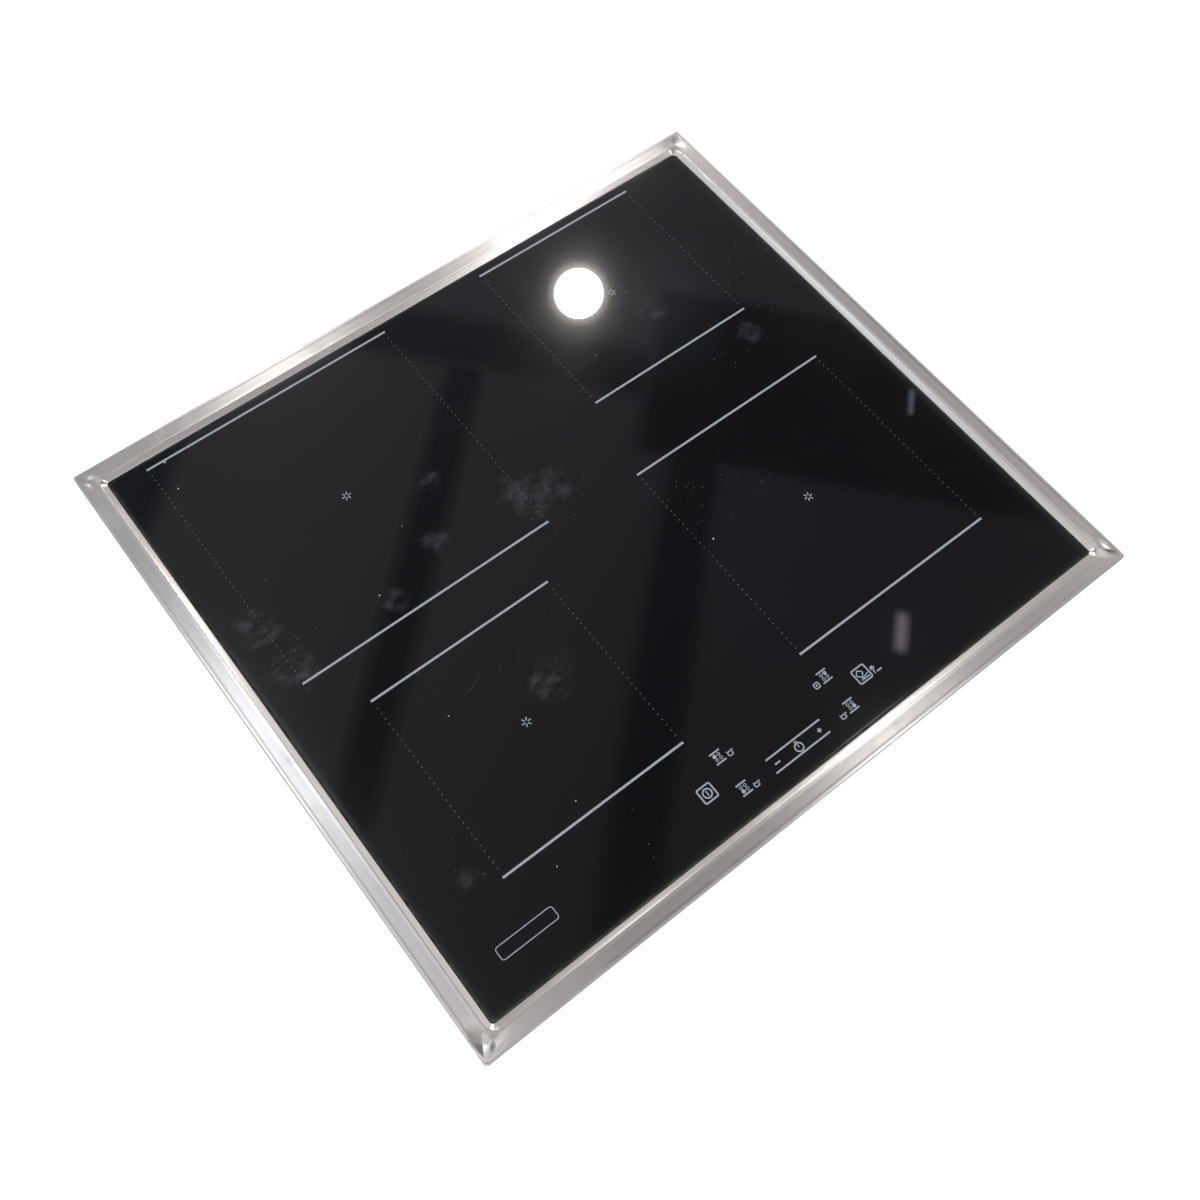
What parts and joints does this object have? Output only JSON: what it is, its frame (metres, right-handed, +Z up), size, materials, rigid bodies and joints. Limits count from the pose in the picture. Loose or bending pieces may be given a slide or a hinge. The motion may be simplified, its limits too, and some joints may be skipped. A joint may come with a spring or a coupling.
{
  "type": "electric induction cooktop",
  "caption": "Built-in induction hob: black glass plate with marked heating zones in a brushed steel trim frame over a shallow steel tray of coils and electronics.",
  "frame": {"origin": "middle of the hob in plan, at the level of the tray's pressed feet", "axes": "+X to the cook's right, +Y to the back edge, +Z up through the glass"},
  "size_m": [0.58, 0.51, 0.056],
  "materials": {
    "stainless": "brushed stainless steel, pressed",
    "glass_ceramic": "black glass-ceramic, polished",
    "black_silicone": "matt silicone",
    "grey_foam": "closed-cell foam strip",
    "galvanised": "hot-dip galvanised sheet",
    "zinc_screw": "zinc-plated",
    "spring_steel": "spring steel, oiled",
    "copper_litz": "varnished stranded copper wire",
    "mica": "pressed mica sheet",
    "black_plastic": "glass-filled plastic, fine grain",
    "white_plastic": "off-white moulded plastic",
    "circuit_board": "green laminate with solder mask",
    "bare_aluminium": "bare rolled or extruded aluminium",
    "yellow_film": "epoxy-filled film capacitor case"
  },
  "bodies": {
    "hob": {"trim_frame": "stainless", "glass_plate": "glass_ceramic", "glass_seal": "black_silicone", "frame_gasket": "grey_foam", "bottom_tray": "galvanised", "screw_side_front_left": "zinc_screw", "screw_side_rear_left": "zinc_screw", "screw_side_front_right": "zinc_screw", "screw_side_rear_right": "zinc_screw", "screw_end_front_left": "zinc_screw", "screw_end_rear_left": "zinc_screw", "screw_end_front_right": "zinc_screw", "screw_end_rear_right": "zinc_screw", "worktop_clip_front_left": "spring_steel", "worktop_clip_rear_left": "spring_steel", "worktop_clip_front_right": "spring_steel", "worktop_clip_rear_right": "spring_steel", "winding_rear_left": "copper_litz", "mica_disc_rear_left": "mica", "coil_carrier_rear_left": "black_plastic", "coil_spring_rear_left": "spring_steel", "heat_sensor_rear_left": "white_plastic", "winding_rear_right": "copper_litz", "mica_disc_rear_right": "mica", "coil_carrier_rear_right": "black_plastic", "coil_spring_rear_right": "spring_steel", "heat_sensor_rear_right": "white_plastic", "winding_front_left": "copper_litz", "mica_disc_front_left": "mica", "coil_carrier_front_left": "black_plastic", "coil_spring_front_left": "spring_steel", "heat_sensor_front_left": "white_plastic", "winding_front_right": "copper_litz", "mica_disc_front_right": "mica", "coil_carrier_front_right": "black_plastic", "coil_spring_front_right": "spring_steel", "heat_sensor_front_right": "white_plastic", "power_board_left": "circuit_board", "heat_sink_left": "bare_aluminium", "fan_housing_left": "black_plastic", "coil_plate_left": "bare_aluminium", "power_board_right": "circuit_board", "heat_sink_right": "bare_aluminium", "fan_housing_right": "black_plastic", "coil_plate_right": "bare_aluminium", "control_board": "circuit_board", "control_holder": "white_plastic", "filter_board": "circuit_board", "mains_choke": "copper_litz", "filter_capacitor_front": "yellow_film", "filter_capacitor_rear": "yellow_film", "terminal_box": "black_plastic", "terminal_block": "white_plastic", "cable_clamp": "black_plastic", "cable_bush": "black_silicone", "clamp_screw_left": "zinc_screw", "clamp_screw_right": "zinc_screw"},
    "fan_left": {"fan_rotor_left": "black_plastic"},
    "fan_right": {"fan_rotor_right": "black_plastic"},
    "cover": {"terminal_cover": "black_plastic"}
  },
  "joints": [
    {"name": "fan_spin_left", "type": "hinge", "parent": "hob", "child": "fan_left", "pos_m": [-0.133, 0.09, 0.0098], "axis": [0, 0, 1], "continuous": true},
    {"name": "fan_spin_right", "type": "hinge", "parent": "hob", "child": "fan_right", "pos_m": [0.133, 0.09, 0.0098], "axis": [0, 0, 1], "continuous": true},
    {"name": "terminal_cover_hinge", "type": "hinge", "parent": "hob", "child": "cover", "pos_m": [-0.189, 0.1726, 0.0034], "axis": [-1, 0, 0], "range_deg": [0, 90]}
  ]
}
